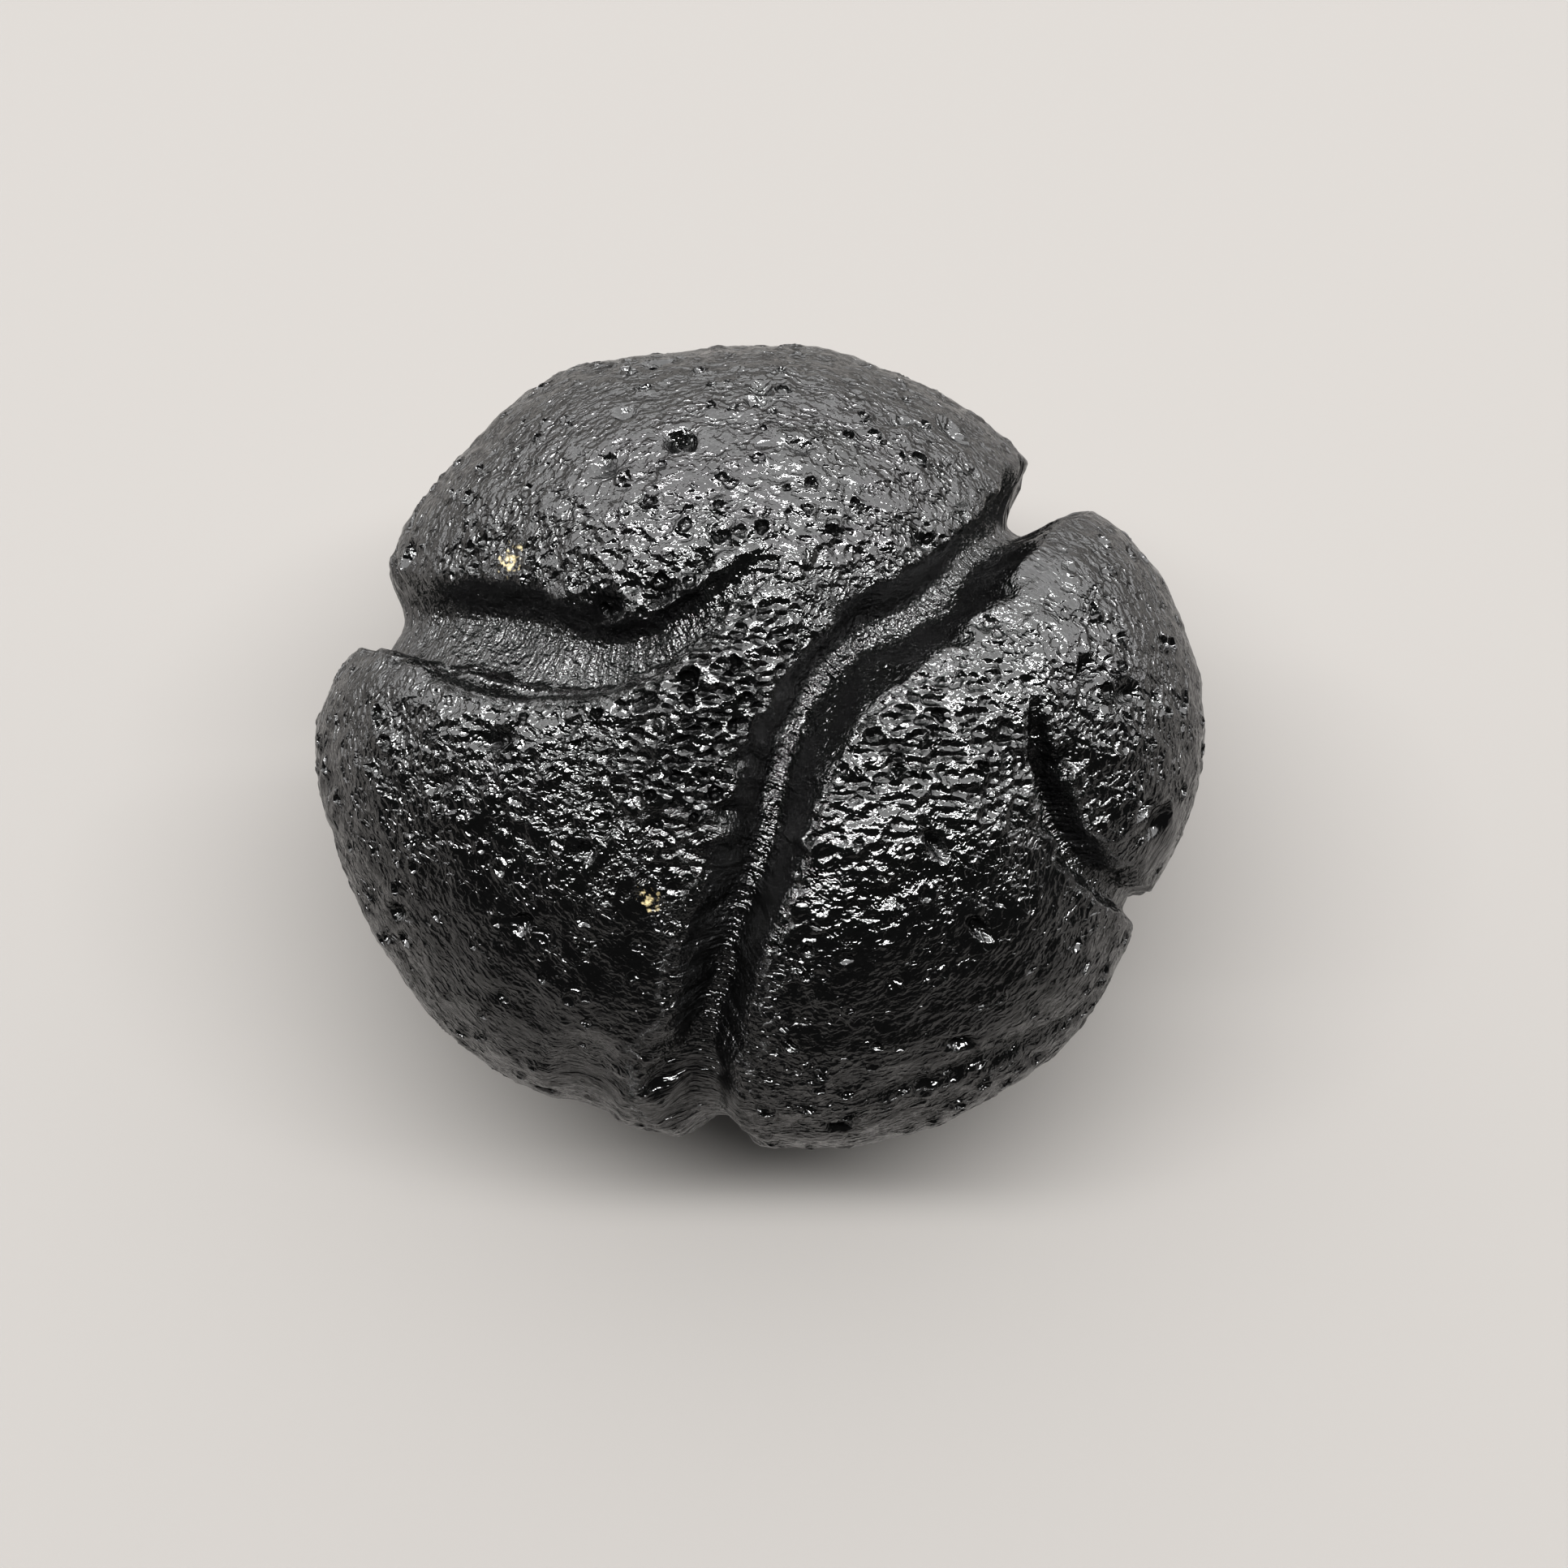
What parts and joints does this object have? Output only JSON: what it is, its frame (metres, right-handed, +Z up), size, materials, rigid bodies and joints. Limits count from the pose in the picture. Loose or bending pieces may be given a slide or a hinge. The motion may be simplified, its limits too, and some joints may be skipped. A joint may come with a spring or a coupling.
{
  "type": "tektite",
  "caption": "Rounded lump of natural black glass with deep curved grooves and a pitted, etched skin, resting on a small flat spot.",
  "frame": {"origin": "middle of the bounding box at the level of the flat spot that it rests on", "axes": "+Z up as it rests, +X along its longest width; the grooved face looks up and leans 12 degrees towards -Y"},
  "size_m": [0.0418, 0.038, 0.0326],
  "materials": {
    "natural_glass": "satin, etched, opaque black"
  },
  "bodies": {
    "root": {"tektite": "natural_glass"}
  },
  "joints": []
}
